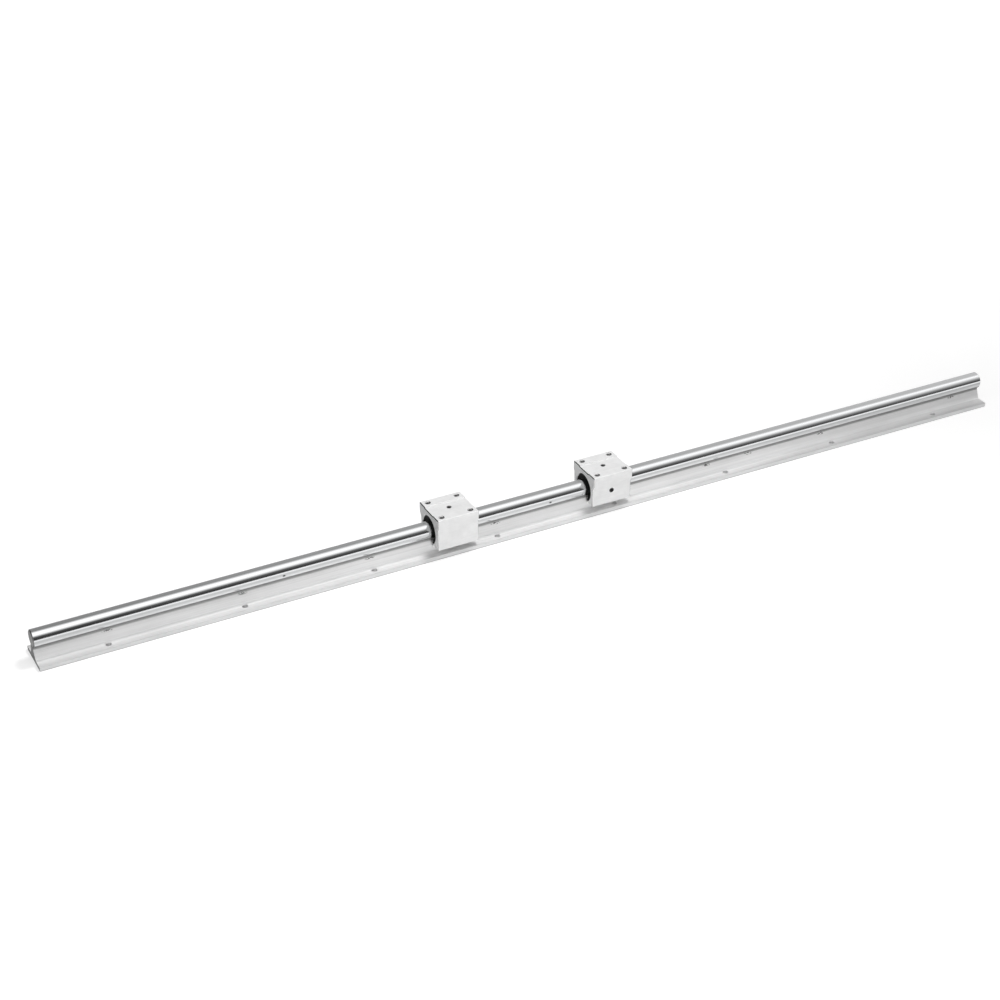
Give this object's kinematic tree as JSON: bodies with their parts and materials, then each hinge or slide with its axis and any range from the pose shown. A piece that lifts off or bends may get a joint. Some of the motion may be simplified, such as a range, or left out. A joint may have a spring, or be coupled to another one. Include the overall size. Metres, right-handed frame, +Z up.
{
  "type": "supported round rail with open pillow block carriages",
  "caption": "Round guide shaft on a full-length aluminium support, with open pillow-block carriages that slide along it.",
  "frame": {"origin": "centre of the support's underside, halfway along the rail", "axes": "+X along the rail, +Y across it, +Z up through the carriages' tops"},
  "size_m": [1.2, 0.048, 0.05],
  "materials": {
    "hard_chrome": "ground and hard-chromed, mirror bright",
    "support_aluminium": "extruded, matt silver, fine lengthwise lines",
    "block_aluminium": "extruded and bead-blasted, matt silver",
    "bearing_steel": "ground steel",
    "cage_plastic": "moulded black",
    "seal_rubber": "moulded black",
    "black_steel": "black oxide"
  },
  "bodies": {
    "rail": {"guide_shaft": "hard_chrome", "support_rail": "support_aluminium", "shaft_screw_1": "black_steel", "shaft_screw_2": "black_steel", "shaft_screw_3": "black_steel", "shaft_screw_4": "black_steel", "shaft_screw_5": "black_steel", "shaft_screw_6": "black_steel", "shaft_screw_7": "black_steel", "shaft_screw_8": "black_steel"},
    "left_carriage": {"left_housing": "block_aluminium", "left_bushing_sleeve": "bearing_steel", "left_ball_cage": "cage_plastic", "left_load_balls": "bearing_steel", "left_outer_seal": "seal_rubber", "left_inner_seal": "seal_rubber", "left_lock_screw": "black_steel", "left_preload_screw": "black_steel"},
    "right_carriage": {"right_housing": "block_aluminium", "right_bushing_sleeve": "bearing_steel", "right_ball_cage": "cage_plastic", "right_load_balls": "bearing_steel", "right_outer_seal": "seal_rubber", "right_inner_seal": "seal_rubber", "right_lock_screw": "black_steel", "right_preload_screw": "black_steel"}
  },
  "joints": [
    {"name": "left_carriage_slide", "type": "slide", "parent": "rail", "child": "left_carriage", "axis": [1, 0, 0], "range_m": [-0.4485, 0.072]},
    {"name": "right_carriage_slide", "type": "slide", "parent": "rail", "child": "right_carriage", "axis": [1, 0, 0], "range_m": [-0.072, 0.507]}
  ]
}
